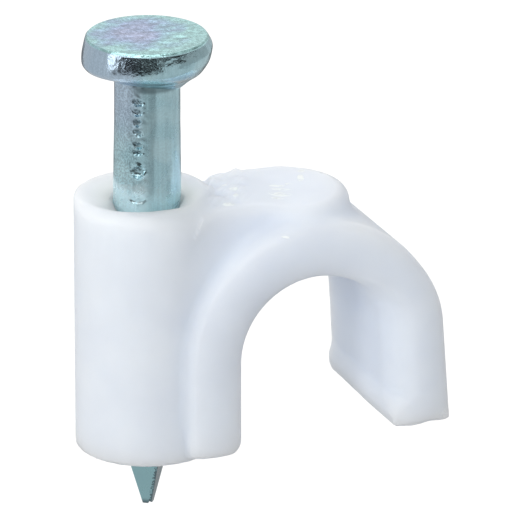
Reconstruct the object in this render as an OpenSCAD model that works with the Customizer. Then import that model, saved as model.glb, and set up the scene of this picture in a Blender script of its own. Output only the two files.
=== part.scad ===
// Nail-in cable clip: one moulded hook with a round post, and the steel nail pushed part of the way into the post.
// Millimetres. The wall is below and +Z points away from it.
// The origin is on the nail's axis, in the plane of the post's foot. The hook lies towards +X, the cable along Y.

/* [Post] */
// Outside diameter of the round post that carries the nail
post_diameter = 5.2; // [4.8:0.1:5.8]
// Height of the post from its foot to the crest of its rim
post_height = 9.5; // [9.2:0.1:11]
// Rounding of the foot's outer edge
foot_rounding = 0.1; // [0.05:0.05:0.3]
// Rounding of the rim's outer edge
rim_rounding = 0.4; // [0.1:0.05:0.45]
// Width of the rim between the post's side and the funnel's mouth
rim_width = 0.6; // [0.5:0.05:0.8]
// Depth of the funnel that leads the nail into its bore
funnel_depth = 1.5; // [0.8:0.1:2.5]
// Gap all round between the nail's shank and its bore
bore_clearance = 0.02; // [0.01:0.01:0.1]

/* [Hook] */
// Diameter of the channel that the cable lies in
channel_diameter = 6.1; // [5.6:0.1:6.3]
// Thickness of the hook's band
band_thickness = 1.85; // [1.6:0.05:2.1]
// Width of the hook's band along the cable
band_width = 6.2; // [5.6:0.1:8]
// Distance from the nail's axis to the channel's axis
hook_reach = 5.36; // [5.2:0.02:5.6]
// Height of the channel's axis above the post's foot
channel_height = 3.65; // [3.4:0.05:4]
// Height of the legs' ends above the post's foot
leg_lift = 0.36; // [0.2:0.02:0.6]
// Angle that the free leg leans outwards
leg_splay = 3.2; // [1:0.2:5]
// Angle that the free leg's outer side leans out further than its inner side
leg_taper = 1; // [0:0.2:2]
// Rounding of the band's outer edges
band_rounding = 0.28; // [0.1:0.02:0.6]
// Rounding of the inner corner of the leg beside the post
leg_corner = 0.5; // [0.2:0.05:0.7]
// How far the free leg's end bead stands into the channel
bead_rise = 0.18; // [0.08:0.02:0.3]
// Height of the bead along the free leg
bead_height = 0.85; // [0.6:0.05:1]
// How far the bead's round side runs on below the leg's level end
bead_sink = 0.06; // [0.02:0.02:0.12]

/* [Boss] */
// Diameter of the boss on the hook's crown
boss_diameter = 4.4; // [4:0.1:4.8]
// Height of the boss above the hook's crown
boss_rise = 0.5; // [0.42:0.02:0.6]
// Rounding of the top edge that runs round the boss and along the waist
boss_rounding = 0.45; // [0.2:0.05:0.5]
// Radius of the hollow sides of the waist between the post and the boss
waist_radius = 4; // [2:0.1:5]
// How far the waist's top lies below the boss's top
waist_drop = 0.06; // [0.04:0.02:0.12]
// Radius of the hollow blend between the waist and the band
blend_radius = 0.3; // [0.1:0.05:0.35]

/* [Nail] */
// Diameter of the nail's shank
shank_diameter = 2.35; // [2:0.05:2.5]
// Length of the nail from its head to its point
nail_length = 17.9; // [17:0.1:25]
// How far the nail's point stands out of the post's foot
point_projection = 2.4; // [1:0.1:3]
// Length of the four-sided point
point_length = 4.6; // [3.2:0.1:5.4]
// Width of the point's blunt end
tip_width = 0.32; // [0.2:0.02:0.6]
// Diameter of the head at its widest line
head_diameter = 4.74; // [4.4:0.02:5]
// How much smaller in diameter the head's flat top is
head_top_taper = 0.38; // [0.2:0.02:0.6]
// Distance from the head's flat top down to its widest line
head_shoulder = 0.72; // [0.5:0.02:0.8]
// Radius of the head's rounded side below its widest line
head_side_radius = 0.4; // [0.2:0.02:0.5]
// Height of the cone under the head
head_cone_height = 0.64; // [0.4:0.02:0.8]
// Angle between the cone's side and the nail's axis
head_cone_angle = 45; // [35:1:48]
// Tilt of the head on its cone, as the heading punch left it
head_tilt = 1.5; // [0:0.5:4]
// Number of marks in each row that the heading dies left on the shank
mark_count = 9; // [3:1:12]
// Distance between two marks in a row
mark_pitch = 0.36; // [0.28:0.02:0.42]
// Depth of a mark
mark_depth = 0.05; // [0.02:0.01:0.08]
// Length of a mark round the shank
mark_length = 0.34; // [0.2:0.02:0.5]
// Turn of the nail in its bore, which sets the way its marks and its point's four sides face
nail_turn = -38; // [-90:1:90]

/* [Hidden] */
// Smoothness of round surfaces
$fn = 96;
// Overrun of a cut past the surface that it opens
overrun = 1;
post_radius = post_diameter / 2;
shank_radius = shank_diameter / 2;
bore_radius = shank_radius + bore_clearance;
mouth_radius = post_radius - rim_width;
channel_radius = channel_diameter / 2;
band_radius = channel_radius + band_thickness;
leg_length = channel_height - leg_lift;
crown_height = channel_height + band_radius;
boss_radius = boss_diameter / 2;
boss_top = crown_height + boss_rise;
waist_top = boss_top - waist_drop;
// The waist's hollow sides are circles that touch the post and the boss
waist_to_post = post_radius + waist_radius;
waist_to_boss = boss_radius + waist_radius;
waist_x = (pow(waist_to_post, 2) - pow(waist_to_boss, 2) + pow(hook_reach, 2)) / (2 * hook_reach);
waist_y = sqrt(pow(waist_to_post, 2) - pow(waist_x, 2));
waist_half_width = waist_y - waist_radius;
// How far the blend runs from the crown down to the post, as an angle about the channel's axis
blend_sweep = 85;
bead_radius = (pow(bead_height / 2, 2) + pow(bead_rise, 2)) / (2 * bead_rise);
bead_inset = bead_radius - bead_rise;
head_radius = head_diameter / 2;
head_top_radius = head_radius - head_top_taper / 2;
head_top = nail_length - point_projection;
head_middle = head_top - head_shoulder;
head_side_start = head_radius - head_side_radius;
head_foot = head_middle - head_side_radius - head_cone_height;
// The cone runs on into the head, so that the head's tilt leaves no gap
cone_height = head_cone_height + head_side_radius / 2;
cone_radius = shank_radius + cone_height * tan(head_cone_angle);
point_angle = atan((shank_radius - tip_width / 2) / point_length);
mark_radius = (pow(mark_length / 2, 2) + pow(mark_depth, 2)) / (2 * mark_depth);
mark_top = head_foot - mark_pitch;
mark_thickness = mark_pitch / 2;

// The post's half section, turned about the nail's axis
module post_section() {
    square([post_radius - foot_rounding, post_height - rim_rounding]);
    translate([0, foot_rounding]) square([post_radius, post_height - foot_rounding - rim_rounding]);
    square([post_radius - rim_rounding, post_height]);
    translate([post_radius - foot_rounding, foot_rounding]) circle(r = foot_rounding);
    translate([post_radius - rim_rounding, post_height - rim_rounding]) circle(r = rim_rounding);
}

module post() {
    rotate_extrude() post_section();
}

// The bore for the nail, with the funnel at its mouth
module nail_bore() {
    translate([0, 0, -overrun]) cylinder(r = bore_radius, h = post_height + 2 * overrun);
    translate([0, 0, post_height - funnel_depth]) cylinder(r1 = bore_radius, r2 = mouth_radius, h = funnel_depth);
    translate([0, 0, post_height]) cylinder(r = mouth_radius, h = overrun);
}

// The band's half section across the cable, with rounded outer edges
module band_section() {
    half_width = band_width / 2;
    translate([0, -half_width]) square([band_radius - band_rounding, band_width]);
    translate([0, band_rounding - half_width]) square([band_radius, band_width - 2 * band_rounding]);
    for (side = [-1, 1])
        translate([band_radius - band_rounding, side * (half_width - band_rounding)])
            circle(r = band_rounding);
}

// Puts what is drawn about the channel's axis in its place
module at_channel() {
    translate([hook_reach, 0, channel_height]) children();
}

// One leg as a solid block from the channel's axis outwards
module leg_block() {
    translate([0, 0, -leg_length - overrun]) linear_extrude(height = leg_length + overrun) band_section();
}

// The hook before its channel is cut: a rounded disc with two legs, cut off level at their ends
module hook_block() {
    difference() {
        at_channel() {
            rotate([90, 0, 0]) rotate_extrude() band_section();
            mirror([1, 0, 0]) leg_block();
            rotate([0, -leg_splay - leg_taper, 0]) leg_block();
        }
        translate([hook_reach - 2 * band_radius, -band_width, leg_lift - 2 * band_radius])
            cube([4 * band_radius, 2 * band_width, 2 * band_radius]);
    }
}

// The channel's outline across the cable, open towards the wall
module channel_outline() {
    cut_length = leg_length + overrun;
    circle(r = channel_radius);
    translate([-channel_radius, -cut_length]) square([3 * channel_radius / 2, cut_length]);
    rotate(leg_splay) translate([0, -cut_length]) square([channel_radius, cut_length]);
    translate([-channel_radius, -leg_length])
        difference() {
            translate([-leg_corner, -overrun]) square([leg_corner, leg_corner + overrun]);
            translate([-leg_corner, leg_corner]) circle(r = leg_corner);
        }
}

module channel() {
    at_channel()
        rotate([90, 0, 0])
            linear_extrude(height = band_width + 2 * overrun, center = true) channel_outline();
}

// The bead along the inner side of the free leg's end
module bead() {
    intersection() {
        hook_block();
        at_channel()
            rotate([0, -leg_splay, 0])
                translate([channel_radius + bead_inset, 0, bead_height / 2 - bead_sink - leg_length])
                    rotate([90, 0, 0]) cylinder(r = bead_radius, h = band_width, center = true);
    }
}

// The low round boss on the hook's crown
module boss() {
    translate([hook_reach, 0, 0])
        rotate_extrude() {
            translate([0, channel_height]) square([boss_radius, boss_top - channel_height - boss_rounding]);
            translate([0, channel_height]) square([boss_radius - boss_rounding, boss_top - channel_height]);
            translate([boss_radius - boss_rounding, boss_top - boss_rounding]) circle(r = boss_rounding);
        }
}

// The waist that joins the post and the boss, hollow on both sides
module waist() {
    difference() {
        translate([0, 0, channel_height])
            linear_extrude(height = waist_top - channel_height)
                difference() {
                    polygon([[0, 0], [waist_x, -waist_y], [hook_reach, 0], [waist_x, waist_y]]);
                    for (side = [-1, 1])
                        translate([waist_x, side * waist_y]) circle(r = waist_radius);
                }
        for (side = [-1, 1])
            translate([waist_x, side * waist_y, waist_top - boss_rounding])
                rotate_extrude() translate([waist_radius, 0]) edge_cut();
    }
}

// What is cut away to round the waist's top edge
module edge_cut() {
    difference() {
        translate([-overrun, 0]) square([boss_rounding + overrun, boss_rounding + overrun]);
        translate([boss_rounding, 0]) circle(r = boss_rounding);
    }
}

// A hollow corner, with its two sides sunk a little into the surfaces that it joins
module blend_section() {
    difference() {
        translate([-blend_radius, -blend_radius]) square(2 * blend_radius);
        translate([blend_radius, blend_radius]) circle(r = blend_radius);
    }
}

// The hollow blends between the waist's two sides and the band below them
module blends() {
    at_channel()
        for (side = [0, 1])
            mirror([0, side, 0])
                rotate([90, 0, 0])
                    rotate([0, 0, 90])
                        rotate_extrude(angle = blend_sweep)
                            translate([band_radius, waist_half_width]) blend_section();
}

module clip_body() {
    color("white")
        union() {
            difference() {
                union() {
                    post();
                    hook_block();
                    boss();
                    waist();
                    blends();
                }
                channel();
                nail_bore();
            }
            bead();
        }
}

// The head's half section about its widest line: a flat top with slanting sides, and a round side below
module head_section() {
    polygon([[0, 0], [head_radius, 0], [head_top_radius, head_shoulder], [0, head_shoulder]]);
    translate([0, -head_side_radius]) square([head_side_start, head_side_radius]);
    intersection() {
        translate([head_side_start, 0]) circle(r = head_side_radius);
        translate([head_side_start, -head_side_radius]) square(head_side_radius);
    }
}

// The head, set a little out of square on the cone that widens the shank
module head() {
    translate([0, 0, head_middle]) rotate([0, -head_tilt, 0]) rotate_extrude() head_section();
    translate([0, 0, head_foot]) cylinder(r1 = shank_radius, r2 = cone_radius, h = cone_height);
}

// The four slanting cuts that leave the nail's point
module point_cuts() {
    for (turn = [0 : 90 : 270])
        rotate([0, 0, turn])
            translate([tip_width / 2, 0, -point_projection])
                rotate([0, point_angle, 0])
                    translate([0, -shank_diameter, -overrun])
                        cube([shank_diameter, 2 * shank_diameter, point_length + 2 * overrun]);
}

// A row of marks on each of two opposite sides of the shank
module die_marks() {
    for (turn = [0, 180], step = [0 : mark_count - 1])
        rotate([0, 0, turn])
            translate([0, -shank_radius - mark_radius + mark_depth, mark_top - step * mark_pitch])
                cylinder(r = mark_radius, h = mark_thickness, center = true);
}

module nail() {
    color("lightsteelblue")
        rotate([0, 0, nail_turn])
            difference() {
                union() {
                    translate([0, 0, -point_projection])
                        cylinder(r = shank_radius, h = head_middle + point_projection);
                    head();
                }
                point_cuts();
                die_marks();
            }
}

clip_body();
nail();
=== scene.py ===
"""Looks of the nail-in cable clip: the white moulding with its post and hook, and the zinc-plated nail in it.

Sizes are in millimetres up to the point where a mesh is made, which is in metres. A pair named span or
levels says where a change from one value to another starts and where it ends.
"""

import math

import bpy
import numpy as np
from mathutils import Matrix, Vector


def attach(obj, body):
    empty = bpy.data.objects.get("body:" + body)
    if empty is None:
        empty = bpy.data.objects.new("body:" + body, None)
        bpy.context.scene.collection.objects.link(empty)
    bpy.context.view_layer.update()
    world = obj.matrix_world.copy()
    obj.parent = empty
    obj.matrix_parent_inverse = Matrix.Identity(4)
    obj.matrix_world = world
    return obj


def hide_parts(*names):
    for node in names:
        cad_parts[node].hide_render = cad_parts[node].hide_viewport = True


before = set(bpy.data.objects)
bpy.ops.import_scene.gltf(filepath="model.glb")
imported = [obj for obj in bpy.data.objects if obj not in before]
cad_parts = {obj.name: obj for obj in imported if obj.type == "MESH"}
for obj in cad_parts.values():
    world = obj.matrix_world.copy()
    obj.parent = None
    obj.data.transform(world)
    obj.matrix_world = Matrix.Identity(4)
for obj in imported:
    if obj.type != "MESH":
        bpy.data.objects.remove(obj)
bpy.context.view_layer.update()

MM = 0.001

# The post and its rim, which is softer in front and softest at the right front
POST_RADIUS = 2.6
POST_HEIGHT = 9.5
FOOT_ROUNDING = 0.12
RIM_BACK_ROUNDING = 0.14
RIM_FRONT_ROUNDING = 0.5
RIM_RIGHT_ROUNDING = 1.1
RIM_FRONT_SPAN = (-0.1, 0.7)
RIM_RIGHT_SPAN = (0.5, 1.0)
RIGHT_FRONT_AHEAD = 0.5
RIGHT_FRONT_SIDEWAYS = 0.87

# The bore for the nail and its oval mouth
BORE_RADIUS = 1.195
NECK_FLARE = 0.075
NECK_LEVELS = (8.8, 9.2)
MOUTH_LONG = 2.2
MOUTH_SHORT = 1.75
MOUTH_BACK_DEPTH = 0.17
MOUTH_FRONT_DEPTH = 0.6
MOUTH_FRONT_SPAN = (0.2, 0.8)
MOUTH_OVERRUN = 1.2
MOUTH_BLEND = 0.06
MOUTH_EDGE = 0.07
NEAR_AXIS = 0.1

# The hook's band and its room for the cable
REACH = 5.36
BAND_Z = 3.65
BAND_RADIUS = 4.9
CHANNEL_X = 5.38
CHANNEL_Z = 3.61
CHANNEL_RADIUS = 2.88
CHANNEL_EDGE = 0.05
HALF_WIDTH = 3.1
FACE_CROWN = 0.22
FACE_CROWN_LIMIT = 1.3
OUTER_EDGE = 0.3
INNER_EDGE = 0.14

# The free leg
SPLAY_INSIDE = math.radians(3.2)
SPLAY_OUTSIDE = math.radians(4.2)
LEG_SWELL = 0.15
LEG_SWELL_BEARINGS = (8, 42)
LEG_OUT_SPAN = (0.3, 2.3)
LEG_DOWN_SPAN = (-3.2, -1.2)
LEG_FRONT_SPAN = (0, 1.5)
LEG_OUTER_EDGE = 0.2
LEG_BACK_EDGE = 0.08
LEG_FRONT_SOFTER = 0.95
LEG_SOFT_LEVELS = (0.5, 1.6)
NUB_X = 10.4
NUB_Z = 0.46
NUB_RADIUS = 0.14
NUB_INSET = 0.08
NUB_BLEND = 0.12

# The legs' ends and the bead inside the free one
LEG_LIFT = 0.22
POST_LEG_END_EDGE = 0.5
FREE_LEG_END_EDGE = 0.1
END_RISE = 0.15
END_RISE_SPAN = (-1.0, 3.0)
END_HOLLOW = 0.09
END_HOLLOW_X = 9.75
END_HOLLOW_HALF = 0.45
BEAD_RISE = 0.2
BEAD_HEIGHT = 0.95
BEAD_SINK = -0.05
BEAD_FADE = 0.12
BEAD_BLEND = 0.22

# The boss
BOSS_RADIUS = 2.3
BOSS_TOP = 9.05
BOSS_ROUNDING = 0.32
BOSS_RIGHT_ROUNDING = 0.6
BOSS_RIGHT_SPAN = (0.5, 2.0)
BOSS_DOME = 0.1

# The waist, which climbs towards the post and flares below the boss
WAIST_RADIUS = 3.8
WAIST_FLARE = 2.5
WAIST_FLARE_GROWTH = 5
WAIST_DEPTH = 3
RAMP_RISE = 0.16
RAMP_SPAN = (0.2, 2.0)
LEVEL_FADE = 1.0
LEVEL_SPAN = (2.9, 3.3)
NOTCH_BACK_SPAN = (0.2, 1.0)
NOTCH_END = 2.3
NOTCH_FADE = 0.2
HARD_SEAM = 0.001
SHOULDER_BLEND = 0.2
SHOULDER_LEVELS = (8.2, 8.7)

# The fillet between the hook and the rest, which is wider near the crown
FILLET_LOW = 0.08
FILLET_MIDDLE = 0.35
FILLET_LEVELS = (0.5, 2.0)
FILLET_GAIN = 0.23
FILLET_GAIN_LEVELS = (6.6, 8.4)
FILLET_RIGHT_GAIN = 0.08
FILLET_RIGHT_SPAN = (6.2, 7.4)

# The torn patch where the moulding came off its runner
SCAR_START_SPAN = (2.12, 2.3)
SCAR_END_SPAN = (3.2, 3.8)
SCAR_FRONT = -1.65
SCAR_BACK = 2.5
SCAR_FADE = 0.4
SCAR_LEVELS = (8.4, 8.9)
SCAR_SWELL = 0.03
SCAR_SWELL_SIZE = 0.7
SCAR_LUMP = 0.035
SCAR_LUMP_SIZE = 0.4
SCAR_WAVES = 7

# Waves that make up a lumpy surface: the range of their lengths, and of the places where they start
WAVE_LENGTHS = (0.7, 1.6)
WAVE_STARTS = (0, 6.3)

# The grid that the moulding's surface is found on
NET_LOW = (-2.9, -3.4, -0.3)
NET_HIGH = (10.9, 3.4, 9.9)
NET_SIZE = 0.1
SETTLE_LIMIT = 0.06
LEAST_SLOPE = 0.2

# Scuffs on the boss, torn flecks by the runner's scar, and a nick on the band, whitened as painted glints:
# the pixels from the picture's left and top edges to the middle, half length and half depth
SCUFFS_AND_GLINTS = (
    ((276.5, 186), 0.27, 0.09),
    ((288.5, 184), 0.12, 0.09),
    ((280.5, 189.5), 0.34, 0.10),
    ((279.5, 194.5), 0.40, 0.20),
    ((277.5, 198.5), 0.24, 0.09),
    ((300.5, 178), 0.12, 0.34),
    ((301.5, 171.5), 0.14, 0.12),
    ((233.5, 189), 0.16, 0.12),
    ((235.5, 195), 0.11, 0.14),
    ((228.5, 204.5), 0.20, 0.12),
    ((224.5, 185), 0.09, 0.10),
    ((285.5, 237), 0.14, 0.03),
)
SCUFF_SPREAD = 1.3
SCUFF_HEIGHT = 0.2
SCUFF_EDGE_SPAN = (0.05, 0.4)
SCUFF_GAP_SPAN = (0.36, 0.48)
SCUFF_GAP_SIZE = 0.12
SCUFF_GAP_STRETCH = 0.45
SCUFF_POLISH = 0.12
SCUFF_LIFT = 4.0

# The nail's head. Its rows are a radius with its change to the right, and a height with its changes
# to the right and to the front, because the head was struck askew.
SHANK_RADIUS = 1.172
HEAD_TOP = 15.48
HEAD_TILT = 0.01
HEAD_FLAT_RADIUS = 2.16
HEAD_RADIUS = 2.33
HEAD_ROWS = (
    (HEAD_FLAT_RADIUS - 0.03, 0, HEAD_TOP, 0, HEAD_TILT),
    (HEAD_FLAT_RADIUS + 0.03, 0, HEAD_TOP - 0.07, 0, HEAD_TILT),
    (HEAD_RADIUS - 0.02, 0, 15.0, 0.17, -0.02),
    (HEAD_RADIUS, 0, 14.81, 0.21, -0.04),
    (HEAD_RADIUS - 0.05, -0.05, 14.52, 0.06, 0.08),
    (2.05, -0.09, 14.16, -0.04, 0.2),
    (1.5, 0, 13.88, -0.1, 0.28),
    (SHANK_RADIUS, 0, 13.61, -0.13, 0.3),
)
HEAD_RINGS = 56
HEAD_SMOOTHINGS = 8
SHARP_RINGS = 4
RIM_RINGS = slice(5, -12)
RIM_DENT = 0.008
RIM_DENT_SIZE = 0.9
RIM_DENT_AROUND = 2
RIM_DENT_ALONG = 0.8
FLAT_RINGS = 40
FLAT_FIRST = 0.05
FLAT_MARGIN = 0.06
FLAT_DENT = 0.012
FLAT_DENT_SIZE = 0.5
FLAT_DENT_LEAST = 0.004
FLAT_DENT_SPAN = (0.1, 0.5)

# The nail's shank
NAIL_SEGMENTS = 256
LEAN = 0.045
SHANK_RINGS = 150
SHANK_LOW = 8.6
SHANK_IN_BORE = 1.175
SHANK_STEP = 0.4
SWELL = 0.06
SWELL_MIDDLE = 0.6
SWELL_LEFT = 0.4
SWELL_NONE = 13.3
SWELL_FULL = 9.4
SEAT_TOP = 9.25
SEAT_LOW = 9.0
RELIEF_LEVELS = (9.1, 9.3)
GRAIN = 0.004
GRAIN_SIZE = 0.22
GRAIN_START_SPAN = (-0.15, 0.25)
GRAIN_END_SPAN = (1.2, 1.6)
DRAWN_LINES = 0.0025
DRAWN_LINES_SIZE = 0.16
DRAWN_LINES_STRETCH = 0.15

# The die's marks on the shank: a row of small ones, and single ones with their place to the right,
# height, half width, half height and depth
MARK_BEARING = math.radians(-17)
MARK_HEIGHTS = (13.36, 12.98, 12.6, 12.22, 11.76, 11.46)
MARK_SHIFT = 0.03
MARK_HALF_WIDTHS = (0.15, 0.22)
MARK_HALF_HEIGHTS = (0.11, 0.15)
MARK_DEPTH = 0.09
BIG_MARK = 10.85
SINGLE_MARKS = (
    (0, BIG_MARK, 0.26, 0.3, 0.13),
    (0.02, BIG_MARK + 0.15, 0.11, 0.1, -0.07),
    (0, 9.72, 0.28, 0.2, 0.06),
)
MARK_RAGGED = 0.02
MARK_RAGGED_ACROSS = 0.16
MARK_RAGGED_ALONG = 0.13
DENT_MIDDLE = 0.45
DENT_TILT = 0.75
DENT_LIMITS = (0.08, 1.1)
BURR = 0.4
BURR_PLACE = 1.12
BURR_HALF = 0.14

# The nail's point
POINT_LOW = -2.4
POINT_LENGTH = 4.6
POINT_START = 2.4
POINT_RINGS = 64
NAIL_TURN = math.radians(-38)
TIP_HALF = 0.16
TIP_NOTCH = 0.13
TIP_NOTCH_HEIGHT = 0.3
TIP_NOTCH_PLACE = 0.07
TIP_NOTCH_HALF = 0.045
SHARP_EDGE = math.radians(40)

# Colours of the plastic, as they look on a screen
PLASTIC_DULL = (223, 230, 242)
PLASTIC_BRIGHT = (227, 234, 246)
# Painted light: the whiter colour of the mouth of the bore, where the nail shades it
PLASTIC_MOUTH_LIGHT = (241, 248, 255)
# Painted glint: the white of the scuffs, flecks and nick
PLASTIC_SCUFF_GLINT = (240, 247, 255)

# The plastic's clouds, sheen, milky depth and grain, and painted light that whitens the mouth of the bore
# round the nail
PLASTIC_CLOUD_SIZE = 2.2
PLASTIC_SPECULAR = 0.3
PLASTIC_ROUGHNESS = (0.38, 0.46)
PLASTIC_ROUGHNESS_SIZE = 0.5
PLASTIC_DEPTH = 2.2
PLASTIC_RELIEF = 0.004
PLASTIC_GRAIN_SIZE = 0.35
# Where the painted light in the mouth of the bore fades, and how strong it is
MOUTH_LIGHT_SPAN = (2.3, 1.3)
MOUTH_LIGHT_SHARE = 0.9

# Colours of the zinc, and those of the film on the head's flat from its middle outwards
ZINC_TEAL = (183, 221, 231)
ZINC_PALE = (201, 235, 243)
ZINC_LAVENDER = (201, 217, 240)
# Painted reflection: the paler colour of the shank's lower left, where it mirrors the bright mouth
ZINC_LOW_LEFT_REFLECTION = (222, 246, 252)
# Painted shade under the head on its right
ZINC_UNDER_HEAD_SHADE = (100, 118, 124)
# Painted shade on the neck below the head
ZINC_NECK_SHADE = (88, 110, 118)
ZINC_POINT = (163, 205, 212)
# Painted shade on the point's right facet and tip
ZINC_FACET_SHADE = (92, 106, 114)
# Painted shade in the die's marks
ZINC_MARK_SHADE = (60, 78, 88)
FILM_COLOURS = (
    (0.12, (196, 206, 236)),
    (0.36, (184, 202, 234)),
    (0.56, (182, 218, 236)),
    (0.76, (190, 236, 236)),
)
FILM_MIDDLE = (-0.3, 0.33, HEAD_TOP)
FILM_SCALE = 0.4
FILM_WANDER = 0.4

# How much of each colour lies over the film, and how its grain, lines and flecks shade it
LAVENDER_SHARE = 0.7
LOW_LEFT_REFLECTION_SHARE = 0.75
UNDER_HEAD_SHADE_SHARE = 0.62
NECK_SHADE_SHARE = 0.6
FACET_SHADE_SHARE = 0.85
MARK_SHADE_SHARE = 0.75
SPECK_SPAN = (0.4, 0.62)
SPECK_SHADES = (-0.2, 0.13)
SPECK_RIGHT = 0.25
SPECK_HEAD = 0.3
FINE_SIZE = 0.07
FINE_SHADES = (0.9, 1.08)
ZINC_CLOUD_SIZE = 0.9
LINE_SIZE = 0.12
LINE_STRETCH = 0.04
LINE_SHADES = (0.93, 1.06)
FLECK_SIZE = 0.13
FLECK_STRETCH = 0.6
FLECK_TURN = math.radians(40)
FLECK_SPAN = (0.36, 0.66)
FLECK_SHADES = (1.1, 0.8)

# The zinc's sheen and fine relief
ZINC_ROUGHNESS = (0.24, 0.36)
HEAD_POLISH = 0.12
ZINC_RELIEF = 0.02
LEFT_GRAIN = 0.28
TOP_GRAIN = 0.4
RIM_GRAIN = 0.2
RIM_GRAIN_SPAN = (0.2, 0.8)
LEAST_GRAIN = 0.1
LINE_RELIEF = 0.16
FLECK_RELIEF = 0.9
DENT_RELIEF = 1.3
DENT_SIZE = 0.3

# The range that most of a noise texture lies in
NOISE_SPAN = (0.3, 0.7)
NARROW_SPAN = (0.35, 0.65)

# Heights and places of the zinc's zones; a span to the side counts from the axis, with the right as plus
LEFT_SPAN = (0.1, -0.7)
HEAD_LEVELS = (14.0, 14.2)
TOP_LEVELS = (HEAD_TOP - 0.1, HEAD_TOP - 0.04)
LAVENDER_LEVELS = (11.2, 13.0)
# Where the painted reflection on the shank's lower left lies
LOW_LEFT_REFLECTION_LEVELS = (10.3, 9.9)
LOW_LEFT_REFLECTION_SPAN = (0.25, -0.15)
LOW_LEFT_REFLECTION_WANDER = 0.5
# Where the painted shade under the head lies
UNDER_HIGH_LEVELS = (14.75, 14.45)
UNDER_LOW_LEVELS = (13.9, 14.05)
UNDER_SPAN = (0.0, 1.6)
# Where the painted shade on the neck lies
NECK_HIGH_LEVELS = (14.0, 13.9)
NECK_LOW_LEVELS = (13.6, 13.75)
NECK_SPAN = (-0.75, -0.1)
WALL_LEVELS = (0.2, -0.4)
# Where the painted shade on the point's right facet and tip lies
FACET_SLANT = 0.154
FACET_SPAN = (0.0, 0.07)
FACET_WANDER = 0.06
FACET_TIP_LEVELS = (POINT_LOW + 0.25, POINT_LOW)
# Where the painted shade in the die's marks lies
MARK_SHADE_HALVES = (0.24, 0.3, 0.13)
MARK_SHADE_EDGE_SPAN = (0.1, 0.5)
MARK_SHADE_GAP_SPAN = (0.38, 0.52)
MARK_SHADE_LIFT = 0.02
MARK_SHADE_BIG_DROP = 0.05
STRUCK_BEARING = math.radians(-5)
STRUCK_HEIGHT = 14.95
STRUCK_SPAN = (0.5, 1.0)

# The camera's place, which one-sided features of the moulding and the nail are set from
AZIMUTH = math.radians(-21.85)
ELEVATION = math.radians(22.45)
PIXEL = 0.036
DISTANCE = 8000 * PIXEL
FRAME_PIXELS = 522
FOOT_PIXEL = (146.85, 430.05)
FOOT_LEVEL = 0.36
SENSOR_WIDTH = 36
NEAREST = 10
FARTHEST = 100000
SIGHT_STEP = 0.01

# The stage
FLOOR_REACH = 600
SEEN_WHITE = 1.1
WORLD_LIGHT = (0.48, 1.2)
WORLD_LIGHT_SPAN = (0.5, 0.7)
WORLD_REFLECTED = 0.58
FLOOR_LIGHT = 0.445
FLOOR_REFLECTED = 0.56
CARD_STEPS = 9
CARD_CENTRE = 15
LIGHT_CENTRE = (4, 0, 6)
LIGHT_DISTANCE = 120
WHITE = (1, 1, 1)
WARM = (1.0, 0.94, 0.84)

# Lights: the way to each by shares to the right, towards the camera and up, its width, watts and colour
LIGHTS = {
    "key": ((-0.64, 0.77, 0.27), 25, 0.038, WHITE),
    "front": ((-0.34, 0.94, 0.27), 80, 0.0434, WHITE),
    "left": ((-1, 0, 0.27), 80, 0.0076, WHITE),
    "left_behind": ((-0.77, -0.64, 1), 80, 0.0254, WHITE),
    "overhead": ((0, 0, 1), 100, 0.0372, WARM),
}

# Cards that the nail mirrors: bearings from its near face, rises, distance and brightness
CARDS = {
    "dark_card": ((-51, 23), (-15, 24), 60, 0.02),
    "dark_border": ((-56, 29), (-20, 28), 62, 0.2),
    "dark_strip": ((29, 110), (13, 32), 55, 0.02),
    "right_card": ((50, 130), (-16, 12), 65, 0.38),
    "bright_card": ((-70, -57), (0, 30), 60, 2.2),
    "edge_card": ((-80, 40), (40, 70), 70, 1.7),
    "floor_strip": ((4, 26), (-32, -17), 32, 0.42),
    "side_strip": ((68, 84), (-32, -17), 32, 0.46),
    "floor_behind": ((148, 212), (-32, -12), 32, 0.18),
    "back_low": ((140, 220), (-6, 14), 80, 0.5),
    "back_middle": ((140, 220), (14, 32), 80, 0.8),
    "back_high": ((140, 220), (32, 60), 80, 1.3),
}


# Fields: the distance to a surface, negative inside

def step_between(value, low, high):
    """0 below low, 1 above high, and smooth between them."""
    t = np.clip((value - low) / (high - low), 0, 1)
    return t * t * (3 - 2 * t)


def round_max(a, b, radius):
    """What two solids share, with the edge between them rounded."""
    corner = np.hypot(np.maximum(a + radius, 0), np.maximum(b + radius, 0))
    return np.minimum(np.maximum(a, b), -radius) + corner


def round_min(a, b, radius):
    """Two solids joined, with a hollow fillet between them."""
    corner = np.hypot(np.maximum(radius - a, 0), np.maximum(radius - b, 0))
    return np.maximum(np.minimum(a, b), radius) - corner


def smooth_min(a, b, width):
    """Two solids joined with a soft seam."""
    share = np.maximum(width - np.abs(a - b), 0) / width
    return np.minimum(a, b) - share * share * width / 4


def smooth_max(a, b, width):
    """What two solids share, with a soft seam."""
    return -smooth_min(-a, -b, width)


def waves(x, y, z, size, seed, count):
    """Smooth noise round 0 with lumps of about the given size."""
    rng = np.random.default_rng(seed)
    total = 0
    for _ in range(count):
        direction = rng.normal(size=3)
        direction *= 2 * math.pi / (size * rng.uniform(*WAVE_LENGTHS) * np.linalg.norm(direction))
        start = rng.uniform(*WAVE_STARTS)
        total = total + np.sin(x * direction[0] + y * direction[1] + z * direction[2] + start)
    return total / math.sqrt(count)


def rightward(x, y):
    """How far to the camera's right of the nail's axis a place lies."""
    return x * math.cos(AZIMUTH) + y * math.sin(AZIMUTH)


def forward_share(x, y):
    """1 where a place lies straight in front of the nail's axis, -1 behind it."""
    return (x * math.sin(AZIMUTH) - y * math.cos(AZIMUTH)) / np.maximum(np.hypot(x, y), NEAR_AXIS)


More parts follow.
